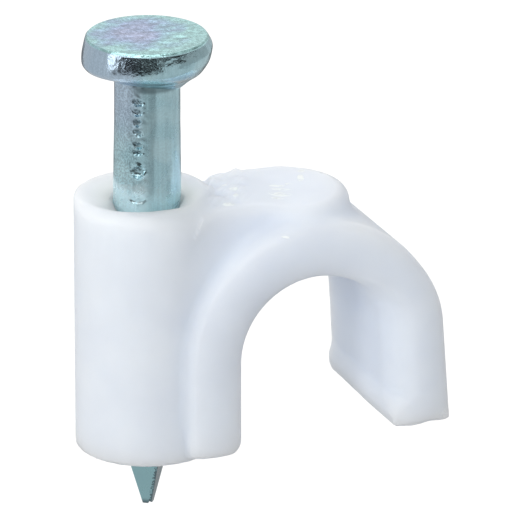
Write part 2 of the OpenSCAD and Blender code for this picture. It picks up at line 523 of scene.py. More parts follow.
def hook_outline(u, w, splay):
    """How far out a point is from a hook's axis.

    The hook is round above its axis and has a straight left and a splayed right leg.
    """
    rim = np.hypot(u, w)
    splayed = u * math.cos(splay) + w * math.sin(splay)
    below_right = u * math.sin(splay) - w * math.cos(splay) > 0
    return np.where(u > 0, np.where(below_right, splayed, rim), np.where(w < 0, -u, rim))


def bead_field(x, y, z):
    """The bead inside the free leg's end, which fades towards the front."""
    u, w = x - CHANNEL_X, z - CHANNEL_Z
    out = u * math.cos(SPLAY_INSIDE) + w * math.sin(SPLAY_INSIDE)
    down = u * math.sin(SPLAY_INSIDE) - w * math.cos(SPLAY_INSIDE)
    radius = (BEAD_HEIGHT ** 2 / 4 + BEAD_RISE ** 2) / (2 * BEAD_RISE)
    fade = BEAD_FADE * (1 - step_between(y, -HALF_WIDTH, 0.0))
    middle = CHANNEL_Z - LEG_LIFT + BEAD_SINK - BEAD_HEIGHT / 2
    return np.hypot(out - CHANNEL_RADIUS - radius + BEAD_RISE - fade, down - middle) - radius


def channel_field(x, y, z):
    """The room for the cable, without and with the free leg's bead standing into it."""
    wall = hook_outline(x - CHANNEL_X, z - CHANNEL_Z, SPLAY_INSIDE) - CHANNEL_RADIUS
    return wall, smooth_max(wall, -bead_field(x, y, z), BEAD_BLEND)


def hook_field(x, y, z, wall, inner):
    """The hook's band with its two legs and its crowned faces."""
    u, w = x - REACH, z - BAND_Z
    bearing = np.degrees(np.arctan2(w, u))
    swell = LEG_SWELL * (1 - step_between(bearing, *LEG_SWELL_BEARINGS)) * (u > 0)
    outer = hook_outline(u, w, SPLAY_OUTSIDE) - BAND_RADIUS - swell
    half = (BAND_RADIUS - CHANNEL_RADIUS) / 2
    across = np.clip((wall + outer) / (2 * half), -FACE_CROWN_LIMIT, FACE_CROWN_LIMIT)
    lean = 2 * FACE_CROWN * across / half
    face = (np.abs(y) - HALF_WIDTH + FACE_CROWN * across ** 2) / np.sqrt(1 + lean ** 2)
    free_leg = step_between(u, *LEG_OUT_SPAN) * step_between(-w, *LEG_DOWN_SPAN)
    front = step_between(-y, *LEG_FRONT_SPAN)
    outer_rounding = OUTER_EDGE + (LEG_OUTER_EDGE - OUTER_EDGE) * free_leg
    inner_rounding = INNER_EDGE + (LEG_BACK_EDGE - INNER_EDGE) * (1 - front) * free_leg
    softer = LEG_FRONT_SOFTER * free_leg * front * step_between(z, *LEG_SOFT_LEVELS)
    hollow = END_HOLLOW * np.exp(-((x - END_HOLLOW_X) / END_HOLLOW_HALF) ** 2)
    rise = END_RISE * step_between(y, *END_RISE_SPAN) * (u > 0)
    ends = LEG_LIFT + hollow + rise - z
    end_edge = np.where(u < 0, POST_LEG_END_EDGE, FREE_LEG_END_EDGE)
    inside = round_max(-inner, ends, end_edge)
    return round_max(round_max(outer, face, outer_rounding), inside, inner_rounding + softer)


def post_field(x, y, z):
    """The post, whose rim is rounded by how far to the front and to the right front it lies."""
    out = np.hypot(x, y)
    ahead = forward_share(x, y)
    right_front = RIGHT_FRONT_AHEAD * ahead
    right_front = right_front + RIGHT_FRONT_SIDEWAYS * rightward(x, y) / np.maximum(out, NEAR_AXIS)
    front = np.maximum(step_between(ahead, *RIM_FRONT_SPAN), step_between(right_front, *RIM_FRONT_SPAN))
    rim = RIM_BACK_ROUNDING + (RIM_FRONT_ROUNDING - RIM_BACK_ROUNDING) * front
    rim = rim + (RIM_RIGHT_ROUNDING - RIM_FRONT_ROUNDING) * step_between(right_front, *RIM_RIGHT_SPAN)
    post = round_max(out - POST_RADIUS, z - POST_HEIGHT, rim)
    return round_max(post, -z, FOOT_ROUNDING)


def crown_height(x, y):
    """The height of the boss and the waist, which climbs to the post and is notched behind the scar."""
    sideways = rightward(x, y)
    level = step_between(y, 0.0, LEVEL_FADE) * step_between(REACH - x, 0.0, LEVEL_FADE)
    level = level * step_between(sideways, *LEVEL_SPAN)
    notch = step_between(y, *NOTCH_BACK_SPAN) * step_between(NOTCH_END - sideways, 0.0, NOTCH_FADE)
    dome = BOSS_DOME * (y / BOSS_RADIUS) ** 2 * (1 - level)
    return BOSS_TOP + RAMP_RISE * step_between(REACH - x, *RAMP_SPAN) * (1 - notch) - dome


def waist_side(x, y, z):
    """The waist's hollow sides, arcs that touch the post and the boss and widen downwards."""
    drop = np.clip(BOSS_TOP - z, 0, WAIST_DEPTH)
    hollow = WAIST_RADIUS + WAIST_FLARE * drop + WAIST_FLARE_GROWTH * drop ** 2
    to_post, to_boss = POST_RADIUS + hollow, BOSS_RADIUS + hollow
    hollow_x = (to_post ** 2 - to_boss ** 2 + REACH ** 2) / (2 * REACH)
    hollow_y = np.sqrt(to_post ** 2 - hollow_x ** 2)
    half = np.abs(y)
    side = hollow - np.hypot(x - hollow_x, half - hollow_y)
    past_post = (half * hollow_x - x * hollow_y) / to_post
    past_boss = (half * (REACH - hollow_x) - (REACH - x) * hollow_y) / to_boss
    return np.maximum(side, np.maximum(past_post, past_boss))


def core_field(x, y, z):
    """The post, the boss and the waist between them."""
    crown = crown_height(x, y)
    boss_rounding = step_between(x - REACH, *BOSS_RIGHT_SPAN)
    boss_rounding = BOSS_ROUNDING + (BOSS_RIGHT_ROUNDING - BOSS_ROUNDING) * boss_rounding
    boss = round_max(np.hypot(x - REACH, y) - BOSS_RADIUS, z - crown, boss_rounding)
    waist = round_max(waist_side(x, y, z), z - crown, BOSS_ROUNDING)
    waist = np.maximum(waist, BAND_Z - z)
    shoulder = HARD_SEAM + SHOULDER_BLEND * step_between(z, *SHOULDER_LEVELS)
    return np.minimum(smooth_min(post_field(x, y, z), waist, shoulder), boss)


def scar_relief(x, y, z):
    """How far the torn patch on the waist stands out, where the moulding came off its runner."""
    sideways = rightward(x, y)
    along = step_between(sideways, *SCAR_START_SPAN) * (1 - step_between(sideways, *SCAR_END_SPAN))
    across = step_between(np.minimum(y - SCAR_FRONT, SCAR_BACK - y), 0, SCAR_FADE)
    lumps = SCAR_SWELL * waves(x, y, 0 * z, SCAR_SWELL_SIZE, seed=7, count=SCAR_WAVES)
    lumps = lumps + SCAR_LUMP * np.abs(waves(x, y, 0 * z, SCAR_LUMP_SIZE, seed=9, count=SCAR_WAVES))
    return along * across * step_between(z, *SCAR_LEVELS) * lumps


def mouth_field(x, y, z):
    """The oval mouth of the bore, steep at the front and shallow elsewhere."""
    front = step_between(forward_share(x, y), *MOUTH_FRONT_SPAN)
    depth = MOUTH_BACK_DEPTH + (MOUTH_FRONT_DEPTH - MOUTH_BACK_DEPTH) * front
    share = np.clip((z - POST_HEIGHT) / depth + 1, 0.0, MOUTH_OVERRUN)
    long_half = BORE_RADIUS + (MOUTH_LONG - BORE_RADIUS) * share
    short_half = BORE_RADIUS + (MOUTH_SHORT - BORE_RADIUS) * share
    out = np.hypot(x / long_half, y / short_half)
    steepness = np.maximum(np.hypot(x / long_half ** 2, y / short_half ** 2), NEAR_AXIS / 2)
    away = out * (out - 1) / steepness
    around = np.maximum(x ** 2 + y ** 2, NEAR_AXIS ** 2)
    reach = (MOUTH_LONG * x ** 2 + MOUTH_SHORT * y ** 2) / around - BORE_RADIUS
    return away / np.hypot(1, reach / depth)


def clip_field(x, y, z):
    """The whole moulding."""
    wall, inner = channel_field(x, y, z)
    hook = hook_field(x, y, z, wall, inner)
    core = core_field(x, y, z)
    gain = FILLET_GAIN + (FILLET_RIGHT_GAIN - FILLET_GAIN) * step_between(x, *FILLET_RIGHT_SPAN)
    fillet = FILLET_LOW + (FILLET_MIDDLE - FILLET_LOW) * step_between(z, *FILLET_LEVELS)
    fillet = fillet + step_between(z, *FILLET_GAIN_LEVELS) * gain
    body = round_min(core, hook, fillet)
    body = round_max(body, -inner, CHANNEL_EDGE)
    nub = np.hypot(x - NUB_X, z - NUB_Z) - NUB_RADIUS
    body = smooth_min(body, np.maximum(nub, np.abs(y) - HALF_WIDTH + NUB_INSET), NUB_BLEND)
    body = body - scar_relief(x, y, z)
    open_share = step_between(z, *NECK_LEVELS)
    lean = LEAN * open_share
    neck = np.hypot(x - lean * math.cos(AZIMUTH), y - lean * math.sin(AZIMUTH))
    neck = neck - BORE_RADIUS - NECK_FLARE * open_share
    hole = smooth_min(neck, mouth_field(x, y, z), MOUTH_BLEND)
    return round_max(body, -hole, MOUTH_EDGE)


# Meshes

def surface_net(field, low, high, size):
    """Vertices and four-sided faces of the surface where the field is zero, on a grid of the given size."""
    axes = [np.arange(a, b + size, size) for a, b in zip(low, high)]
    grid = [axis.reshape([-1 if i == j else 1 for j in range(3)]) for i, axis in enumerate(axes)]
    value = np.broadcast_to(field(*grid), [len(axis) for axis in axes])
    inside = value < 0
    shape = np.array(value.shape)
    strides = np.array([shape[1] * shape[2], shape[2], 1])
    count = int(shape.prod())
    sums = np.zeros((4, count))
    rings = []
    for axis in range(3):
        ahead = [slice(None)] * 3
        behind = [slice(None)] * 3
        behind[axis], ahead[axis] = slice(0, -1), slice(1, None)
        first, second = value[tuple(behind)], value[tuple(ahead)]
        edge = np.argwhere(inside[tuple(behind)] != inside[tuple(ahead)])
        at = tuple(edge.T)
        point = edge.astype(float)
        point[:, axis] += first[at] / (first[at] - second[at])
        one, two = strides[(axis + 1) % 3], strides[(axis + 2) % 3]
        base = edge @ strides
        around = np.stack([base, base - one, base - one - two, base - two], axis=1)
        flipped = ~inside[tuple(behind)][at]
        around[flipped] = around[flipped][:, ::-1]
        rings.append(around)
        for column in around.T:
            for i in range(3):
                sums[i] += np.bincount(column, point[:, i], count)
            sums[3] += np.bincount(column, minlength=count)
    used = np.flatnonzero(sums[3])
    number = np.zeros(count, int)
    number[used] = np.arange(len(used))
    vertices = (sums[:3, used] / sums[3, used]).T * size + np.array([axis[0] for axis in axes])
    return vertices, number[np.concatenate(rings)]


def slope(field, points, reach=0.012):
    """The field's gradient at each point."""
    columns = []
    for axis in range(3):
        shift = np.zeros(3)
        shift[axis] = reach
        columns.append(field(*(points + shift).T) - field(*(points - shift).T))
    return np.stack(columns, axis=1) / (2 * reach)


def settle(field, points, rounds=3):
    """Moves points along the gradient onto the surface."""
    for _ in range(rounds):
        gradient = slope(field, points)
        length = np.maximum((gradient ** 2).sum(1), LEAST_SLOPE)
        move = np.clip(field(*points.T) / length, -SETTLE_LIMIT, SETTLE_LIMIT)
        points = points - gradient * move[:, None]
    return points


def make_object(name, vertices, faces):
    """A smooth-shaded mesh object from points in millimetres."""
    mesh = bpy.data.meshes.new(name)
    mesh.from_pydata((np.asarray(vertices) * MM).tolist(), [], [list(f) for f in faces])
    mesh.polygons.foreach_set("use_smooth", np.ones(len(mesh.polygons), bool))
    mesh.update()
    piece = bpy.data.objects.new(name, mesh)
    bpy.context.scene.collection.objects.link(piece)
    return piece


def make_clip():
    """The white moulding."""
    vertices, faces = surface_net(clip_field, NET_LOW, NET_HIGH, NET_SIZE)
    vertices = settle(clip_field, vertices)
    piece = make_object("clip_moulding", vertices, faces)
    normals = slope(clip_field, vertices)
    normals /= np.linalg.norm(normals, axis=1, keepdims=True)
    piece.data.normals_split_custom_set_from_vertices(normals.tolist())
    return piece


def head_flat(turn, front):
    """Rings of the head's flat, with shallow dents that fade towards its edge."""
    rings = []
    for r in np.linspace(FLAT_FIRST, HEAD_FLAT_RADIUS - FLAT_MARGIN, FLAT_RINGS):
        dents = waves(r * np.cos(turn), r * np.sin(turn), 0 * turn, FLAT_DENT_SIZE, seed=41, count=12)
        dents = np.minimum(0, FLAT_DENT * dents - FLAT_DENT_LEAST)
        fade = step_between(HEAD_FLAT_RADIUS - r, *FLAT_DENT_SPAN)
        tilt = HEAD_TILT * front * r / HEAD_FLAT_RADIUS
        rings.append((r + 0 * turn, HEAD_TOP + tilt + dents * fade))
    return rings


def head_side(side, front):
    """Rings from the head's flat to its shank, with the rows' corners softened below the flat's edge."""
    corners = []
    for radius, wider, height, right_rise, front_rise in HEAD_ROWS:
        corners.append((radius + wider * side, height + right_rise * side + front_rise * front))
    rings = []
    for share in np.linspace(0, len(corners) - 1, HEAD_RINGS):
        i = min(int(share), len(corners) - 2)
        t = share - i
        rings.append([first + (second - first) * t for first, second in zip(corners[i], corners[i + 1])])
    rings = np.array(rings)
    for _ in range(HEAD_SMOOTHINGS):
        above, below = rings[SHARP_RINGS - 1:-2], rings[SHARP_RINGS + 1:]
        rings[SHARP_RINGS:-1] = (above + 2 * rings[SHARP_RINGS:-1] + below) / 4
    rim = rings[RIM_RINGS]
    x, y, z = RIM_DENT_AROUND * side, RIM_DENT_AROUND * front, RIM_DENT_ALONG * rim[:, 1]
    rim[:, 0] += RIM_DENT * waves(x, y, z, RIM_DENT_SIZE, seed=43, count=10)
    return [tuple(ring) for ring in rings]


def scoop(s, z, width, height, depth):
    """A dent that the gripping die left, deepest at its lower edge, with a small burr under it."""
    q = np.hypot(s / width, z / height)
    dent = np.sqrt(np.clip(1 - q * q, 0, 1)) * np.clip(DENT_MIDDLE - DENT_TILT * z / height, *DENT_LIMITS)
    burr = np.exp(-((q - BURR_PLACE) / BURR_HALF) ** 2) * np.clip(-z / height, 0, 1)
    return depth * (BURR * burr - dent)


def shank_relief(around, z):
    """Marks of the die on the shank's near side, and the fine grain of the plating."""
    rng = np.random.default_rng(21)
    ragged = waves(around, 0 * around, z, MARK_RAGGED_ACROSS, seed=35, count=12)
    s = SHANK_RADIUS * (around - MARK_BEARING) + MARK_RAGGED * ragged
    low = z + MARK_RAGGED * waves(around, 0 * around, z, MARK_RAGGED_ALONG, seed=37, count=12)
    relief = 0
    for height in MARK_HEIGHTS:
        shift = rng.uniform(-MARK_SHIFT, MARK_SHIFT)
        half_width = rng.uniform(*MARK_HALF_WIDTHS)
        half_height = rng.uniform(*MARK_HALF_HEIGHTS)
        relief = relief + scoop(s - shift, low - height, half_width, half_height, MARK_DEPTH)
    for shift, height, half_width, half_height, depth in SINGLE_MARKS:
        relief = relief + scoop(s - shift, low - height, half_width, half_height, depth)
    x, y = np.cos(around), np.sin(around)
    near = step_between(-around, *GRAIN_START_SPAN) * (1 - step_between(-around, *GRAIN_END_SPAN))
    relief = relief + GRAIN * near * waves(x, y, z, GRAIN_SIZE, seed=31, count=14)
    drawn = waves(x, y, DRAWN_LINES_STRETCH * z, DRAWN_LINES_SIZE, seed=33, count=14)
    return relief + DRAWN_LINES * drawn


def shank_rings(around, side, neck):
    """Rings from the head's neck down into the bore, where the shank is plain."""
    rings = []
    for share in np.linspace(0, 1, SHANK_RINGS)[1:]:
        z = neck + (SHANK_LOW - neck) * share
        swell = SWELL * step_between(-z, -SWELL_NONE, -SWELL_FULL) * (SWELL_MIDDLE - SWELL_LEFT * side)
        r = SHANK_RADIUS + swell
        r = r + (SHANK_IN_BORE - r) * step_between(-z, -SEAT_TOP, -SEAT_LOW)
        rings.append((r + shank_relief(around, z) * step_between(z, *RELIEF_LEVELS), z))
    return rings


def point_rings(turn, side):
    """Rings from the bore down to the four-sided point, whose tip has a small notch."""
    facets = np.maximum(np.abs(np.cos(turn - NAIL_TURN)), np.abs(np.sin(turn - NAIL_TURN)))
    plain = np.arange(SHANK_LOW - SHANK_STEP, POINT_START + SHANK_STEP / 4, -SHANK_STEP)
    rings = []
    for z in list(plain) + list(np.linspace(POINT_START, POINT_LOW, POINT_RINGS)):
        half = TIP_HALF + (z - POINT_LOW) * (SHANK_IN_BORE - TIP_HALF) / POINT_LENGTH
        r = np.minimum(SHANK_IN_BORE, half / facets)
        notch = TIP_NOTCH * step_between(POINT_LOW + TIP_NOTCH_HEIGHT - z, 0, TIP_NOTCH_HEIGHT)
        notch = notch * np.exp(-((r * side - TIP_NOTCH_PLACE) / TIP_NOTCH_HALF) ** 2)
        rings.append((r, z + notch))
    return rings


def make_nail():
    """The zinc-plated nail, which leans a little above the bore."""
    segments = NAIL_SEGMENTS
    turn = np.arange(segments) * 2 * math.pi / segments
    around = (turn - AZIMUTH + math.pi / 2 + math.pi) % (2 * math.pi) - math.pi
    side, front = np.sin(around), np.cos(around)
    rings = head_flat(turn, front) + head_side(side, front)
    rings += shank_rings(around, side, rings[-1][1])
    rings += point_rings(turn, side)
    radius = np.array([r for r, _ in rings])
    height = np.array([z + 0 * turn for _, z in rings])
    lean = LEAN * step_between(height, SEAT_LOW, POST_HEIGHT)
    x = radius * np.cos(turn) + lean * math.cos(AZIMUTH)
    y = radius * np.sin(turn) + lean * math.sin(AZIMUTH)
    points = np.stack([x, y, height], axis=-1).reshape(-1, 3)
    count = len(rings)
    first = np.arange(count - 1)[:, None] * segments + np.arange(segments)
    beside = np.arange(count - 1)[:, None] * segments + (np.arange(segments) + 1) % segments
    faces = np.stack([first, first + segments, beside + segments, beside], axis=-1).reshape(-1, 4).tolist()
    points = np.vstack([points, points[:segments].mean(0), points[-segments:].mean(0)])
    top, tip = len(points) - 2, len(points) - 1
    last = (count - 1) * segments
    for i in range(segments):
        j = (i + 1) % segments
        faces.append([top, i, j])
        faces.append([tip, last + j, last + i])
    piece = make_object("nail_steel", points, faces)
    piece.data.set_sharp_from_angle(angle=SHARP_EDGE)
    return piece


# Materials

def linear(*srgb):
    """A colour as it looks on a screen, 0 to 255, as the renderer's linear values."""
    values = [c / 255 for c in srgb]
    return [c / 12.92 if c <= 0.04045 else ((c + 0.055) / 1.055) ** 2.4 for c in values] + [1.0]


class Looks:
    """A material whose textures are placed in the part's own frame, in millimetres."""

    def __init__(self, name):
        self.material = bpy.data.materials.new(name)
        self.material.use_nodes = True
        self.nodes, self.links = self.material.node_tree.nodes, self.material.node_tree.links
        self.shader = self.nodes["Principled BSDF"]
        place = self.nodes.new("ShaderNodeTexCoord").outputs["Object"]
        self.place = self.stretch(place, (1 / MM, 1 / MM, 1 / MM))

    def put(self, socket, value):
        if hasattr(value, "links"):
            self.links.new(value, socket)
        else:
            socket.default_value = value

    def stretch(self, place, scale, turn=0.0):
        node = self.nodes.new("ShaderNodeMapping")
        self.put(node.inputs["Vector"], place)
        node.inputs["Rotation"].default_value = (0, 0, turn)
        node.inputs["Scale"].default_value = scale
        return node.outputs["Vector"]

    def noise(self, size, detail=3.0, scale=(1, 1, 1), turn=0.0):
        node = self.nodes.new("ShaderNodeTexNoise")
        self.put(node.inputs["Vector"], self.stretch(self.place, scale, turn))
        node.inputs["Scale"].default_value = 1 / size
        node.inputs["Detail"].default_value = detail
        return node.outputs["Fac"]

    def span(self, value, low, high, first=0.0, last=1.0):
        node = self.nodes.new("ShaderNodeMapRange")
        node.interpolation_type = "SMOOTHSTEP"
        self.put(node.inputs["Value"], value)
        for socket, number in zip(("From Min", "From Max", "To Min", "To Max"), (low, high, first, last)):
            self.put(node.inputs[socket], number)
        return node.outputs["Result"]

    def combine(self, operation, first, second):
        node = self.nodes.new("ShaderNodeMath")
        node.operation = operation
        self.put(node.inputs[0], first)
        self.put(node.inputs[1], second)
        return node.outputs["Value"]

    def plus(self, first, second):
        return self.combine("ADD", first, second)

    def minus(self, first, second):
        return self.combine("SUBTRACT", first, second)

    def times(self, first, second):
        return self.combine("MULTIPLY", first, second)

    def most(self, first, second):
        return self.combine("MAXIMUM", first, second)

    def measure(self, operation, vector):
        node = self.nodes.new("ShaderNodeVectorMath")
        node.operation = operation
        self.put(node.inputs[0], self.place)
        node.inputs[1].default_value = vector
        return node.outputs["Value"]

    def along(self, direction):
        return self.measure("DOT_PRODUCT", direction)

    def away(self, point):
        return self.measure("DISTANCE", point)

    def spot(self, middle, turn, halves):
        """1 in the middle of a stroke that lies turned about the upright axis, 0 from its edge outwards."""
        node = self.nodes.new("ShaderNodeMapping")
        node.vector_type = "TEXTURE"
        self.put(node.inputs["Vector"], self.place)
        node.inputs["Location"].default_value = middle
        node.inputs["Rotation"].default_value = (0, 0, turn)
        node.inputs["Scale"].default_value = halves
        fade = self.nodes.new("ShaderNodeTexGradient")
        fade.gradient_type = "SPHERICAL"
        self.put(fade.inputs["Vector"], node.outputs["Vector"])
        return fade.outputs["Fac"]

    def blend(self, factor, first, second, mode="MIX"):
        node = self.nodes.new("ShaderNodeMix")
        node.data_type = "RGBA"
        node.blend_type = mode
        sockets = [socket for socket in node.inputs if socket.enabled]
        for socket, value in zip(sockets, (factor, first, second)):
            self.put(socket, value)
        return [socket for socket in node.outputs if socket.enabled][0]

    def tint(self, share, strength, base, colour):
        """The base with a colour over it, by a share that is at most the given strength."""
        return self.blend(self.times(share, strength), base, linear(*colour))

    def shade(self, base, brightness):
        return self.blend(1.0, base, brightness, "MULTIPLY")

    def ramp(self, factor, stops):
        node = self.nodes.new("ShaderNodeValToRGB")
        self.put(node.inputs["Fac"], factor)
        while len(node.color_ramp.elements) < len(stops):
            node.color_ramp.elements.new(0.5)
        for element, (position, colour) in zip(node.color_ramp.elements, stops):
            element.position = position
            element.color = linear(*colour)
        return node.outputs["Color"]

    def bump(self, height, distance):
        node = self.nodes.new("ShaderNodeBump")
        self.put(node.inputs["Height"], height)
        node.inputs["Distance"].default_value = distance * MM
        node.inputs["Strength"].default_value = 1.0
        self.links.new(node.outputs["Normal"], self.shader.inputs["Normal"])


def seen_place(camera, pixel):
    """The place on the moulding that the camera sees at a pixel."""
    middle = FRAME_PIXELS / 2
    sight = Vector((pixel[0] - middle, middle - pixel[1], -DISTANCE / PIXEL))
    sight = np.array(camera.rotation_quaternion @ sight)
    start = np.array(camera.location) / MM
    heights = np.arange(NET_HIGH[2], 0, -SIGHT_STEP)
    points = start + ((heights - start[2]) / sight[2])[:, None] * sight
    return points[np.argmax(clip_field(*points.T) < 0)]


def plastic(camera):
    """Milky white polyethylene, with painted light that whitens the mouth of the bore where the nail shades
    it, and scuffs whitened by painted glints.
    """
    looks = Looks("clip_plastic_looks")
    shader = looks.shader
    cloud = looks.span(looks.noise(PLASTIC_CLOUD_SIZE, detail=2.0), *NOISE_SPAN)
    colour = looks.blend(cloud, linear(*PLASTIC_DULL), linear(*PLASTIC_BRIGHT))
    # Painted light: whitens the mouth of the bore, which the nail shades
    mouth_light = looks.span(looks.away((0, 0, POST_HEIGHT)), *MOUTH_LIGHT_SPAN)
    colour = looks.tint(mouth_light, MOUTH_LIGHT_SHARE, colour, PLASTIC_MOUTH_LIGHT)
    scuffs_and_glints = 0.0
    for pixel, half_length, half_depth in SCUFFS_AND_GLINTS:
        halves = (SCUFF_SPREAD * half_length, SCUFF_SPREAD * half_depth, SCUFF_HEIGHT)
        scuffs_and_glints = looks.most(looks.spot(seen_place(camera, pixel), AZIMUTH, halves), scuffs_and_glints)
    gaps = looks.noise(SCUFF_GAP_SIZE, scale=(SCUFF_GAP_STRETCH, 1, 1), turn=-AZIMUTH)
    scuffs_and_glints = looks.times(looks.span(scuffs_and_glints, *SCUFF_EDGE_SPAN), looks.span(gaps, *SCUFF_GAP_SPAN))
    # Painted glints: the scuffs and flecks are drawn whiter than the plastic; their smoother sheen and relief
    # are real
    colour = looks.blend(scuffs_and_glints, colour, linear(*PLASTIC_SCUFF_GLINT))
    looks.put(shader.inputs["Base Color"], colour)
    rough = looks.span(looks.noise(PLASTIC_ROUGHNESS_SIZE), *NOISE_SPAN, *PLASTIC_ROUGHNESS)
    looks.put(shader.inputs["Roughness"], looks.minus(rough, looks.times(scuffs_and_glints, SCUFF_POLISH)))
    shader.inputs["Specular IOR Level"].default_value = PLASTIC_SPECULAR
    shader.inputs["Subsurface Weight"].default_value = 1.0
    shader.inputs["Subsurface Radius"].default_value = (1.0, 1.0, 1.0)
    shader.inputs["Subsurface Scale"].default_value = PLASTIC_DEPTH * MM
    relief = looks.plus(looks.noise(PLASTIC_GRAIN_SIZE), looks.times(scuffs_and_glints, SCUFF_LIFT))
    looks.bump(relief, PLASTIC_RELIEF)
    return looks.material


def zinc(right, toward):
    """Bright zinc with a bluish film, which shows colours on the head's flat and grain on the shank, and
    painted shade and reflection on the shank and point.
    """
    looks = Looks("nail_zinc_looks")
    shader = looks.shader
    height = looks.along((0, 0, 1))
    side = looks.along(tuple(right))
    left = looks.span(side, *LEFT_SPAN)
    fine = looks.noise(FINE_SIZE)
    cloud = looks.noise(ZINC_CLOUD_SIZE)
    lines = looks.noise(LINE_SIZE, scale=(1, 1, LINE_STRETCH))
    fleck = looks.noise(FLECK_SIZE, detail=5.0, scale=(1, FLECK_STRETCH, 1), turn=FLECK_TURN)
    on_head = looks.span(height, *HEAD_LEVELS)
    on_top = looks.span(height, *TOP_LEVELS)
    on_rim = looks.minus(on_head, on_top)

    def near(bearing, radius, z):
        """A place on the nail's side, at a bearing from its near face."""
        return toward * radius * math.cos(bearing) + right * radius * math.sin(bearing) + Vector((0, 0, z))

    # The film, its grain and its drawn lines
    shank = looks.blend(looks.span(cloud, *NARROW_SPAN), linear(*ZINC_TEAL), linear(*ZINC_PALE))
    lavender = looks.times(looks.span(height, *LAVENDER_LEVELS), left)
    shank = looks.tint(lavender, LAVENDER_SHARE, shank, ZINC_LAVENDER)
    speck = looks.span(fine, *SPECK_SPAN, *SPECK_SHADES)
    speck = looks.times(speck, looks.span(left, 0, 1, SPECK_RIGHT, 1.0))
    speck = looks.times(speck, looks.span(height, *HEAD_LEVELS, 1.0, SPECK_HEAD))
    shank = looks.shade(shank, looks.plus(speck, 1.0))
    shank = looks.shade(shank, looks.span(lines, *NOISE_SPAN, *LINE_SHADES))

    # Painted reflection of the bright mouth on the lower left, painted shade on the right under the head and
    # on the neck
    # Painted reflection: the lower left is lightened as the shank mirrors the bright mouth
    low_left_reflection = looks.plus(height, looks.span(cloud, *NOISE_SPAN, -LOW_LEFT_REFLECTION_WANDER, LOW_LEFT_REFLECTION_WANDER))
    low_left_reflection = looks.times(looks.span(low_left_reflection, *LOW_LEFT_REFLECTION_LEVELS), looks.span(side, *LOW_LEFT_REFLECTION_SPAN))
    shank = looks.tint(low_left_reflection, LOW_LEFT_REFLECTION_SHARE, shank, ZINC_LOW_LEFT_REFLECTION)
    # Painted shade: the right side under the head is darkened
    under = looks.times(looks.span(height, *UNDER_HIGH_LEVELS), looks.span(height, *UNDER_LOW_LEVELS))
    under = looks.times(under, looks.span(side, *UNDER_SPAN))
    shank = looks.tint(under, UNDER_HEAD_SHADE_SHARE, shank, ZINC_UNDER_HEAD_SHADE)
    # Painted shade: the neck below the head is darkened
    neck = looks.times(looks.span(height, *NECK_HIGH_LEVELS), looks.span(height, *NECK_LOW_LEVELS))
    neck = looks.times(neck, looks.span(side, *NECK_SPAN))
    shank = looks.tint(neck, NECK_SHADE_SHARE, shank, ZINC_NECK_SHADE)

    # The point, with painted shade on its right facet and tip
    in_wall = looks.span(height, *WALL_LEVELS)
    shank = looks.blend(in_wall, shank, linear(*ZINC_POINT))
    facet = looks.minus(side, looks.times(looks.minus(height, POINT_LOW), FACET_SLANT))
    facet = looks.plus(facet, looks.span(fine, *NARROW_SPAN, -FACET_WANDER, FACET_WANDER))
    facet = looks.most(looks.span(facet, *FACET_SPAN), looks.span(height, *FACET_TIP_LEVELS))
    shank = looks.tint(looks.times(facet, in_wall), FACET_SHADE_SHARE, shank, ZINC_FACET_SHADE)

    # Painted shade in the die's marks
    marks = 0.0
    for z in MARK_HEIGHTS + (BIG_MARK - MARK_SHADE_BIG_DROP,):
        middle = near(MARK_BEARING, SHANK_RADIUS, z + MARK_SHADE_LIFT)
        marks = looks.most(looks.spot(middle, AZIMUTH + MARK_BEARING, MARK_SHADE_HALVES), marks)
    mark_shade = looks.times(looks.span(marks, *MARK_SHADE_EDGE_SPAN), looks.span(fine, *MARK_SHADE_GAP_SPAN))
    shank = looks.tint(mark_shade, MARK_SHADE_SHARE, shank, ZINC_MARK_SHADE)

    # The head's flat
    film = looks.span(cloud, *NOISE_SPAN, -FILM_WANDER, FILM_WANDER)
    film = looks.plus(looks.away(FILM_MIDDLE), film)
    top = looks.ramp(looks.times(film, FILM_SCALE), FILM_COLOURS)
    top = looks.shade(top, looks.span(fleck, *FLECK_SPAN, *FLECK_SHADES))
    top = looks.shade(top, looks.span(fine, *NARROW_SPAN, *FINE_SHADES))
    looks.put(shader.inputs["Base Color"], looks.blend(on_top, shank, top))

    # Smoother on the head than on the shank
    shader.inputs["Metallic"].default_value = 1.0
    rough = looks.span(cloud, *NOISE_SPAN, *ZINC_ROUGHNESS)
    looks.put(shader.inputs["Roughness"], looks.minus(rough, looks.times(on_head, HEAD_POLISH)))

    # Fine relief: grain on the left and on the flat, the struck patch of the rim, lines, flecks and dents
    struck_middle = near(STRUCK_BEARING, HEAD_RADIUS, STRUCK_HEIGHT)
    struck = looks.span(looks.away(struck_middle), *STRUCK_SPAN, 1.0, 0.0)
    grain = looks.most(looks.times(left, LEFT_GRAIN), looks.times(on_top, TOP_GRAIN))
    grain = looks.times(grain, looks.span(on_rim, *RIM_GRAIN_SPAN, 1.0, RIM_GRAIN))
    grain = looks.most(looks.most(grain, struck), LEAST_GRAIN)
    relief = looks.plus(looks.times(fine, grain), looks.times(lines, LINE_RELIEF))
    relief = looks.minus(relief, looks.times(looks.times(fleck, on_top), FLECK_RELIEF))
    dents = looks.times(looks.noise(DENT_SIZE, detail=2.0), on_rim)
    relief = looks.plus(relief, looks.times(dents, DENT_RELIEF))
    looks.bump(relief, ZINC_RELIEF)
    return looks.material


# The camera and the stage

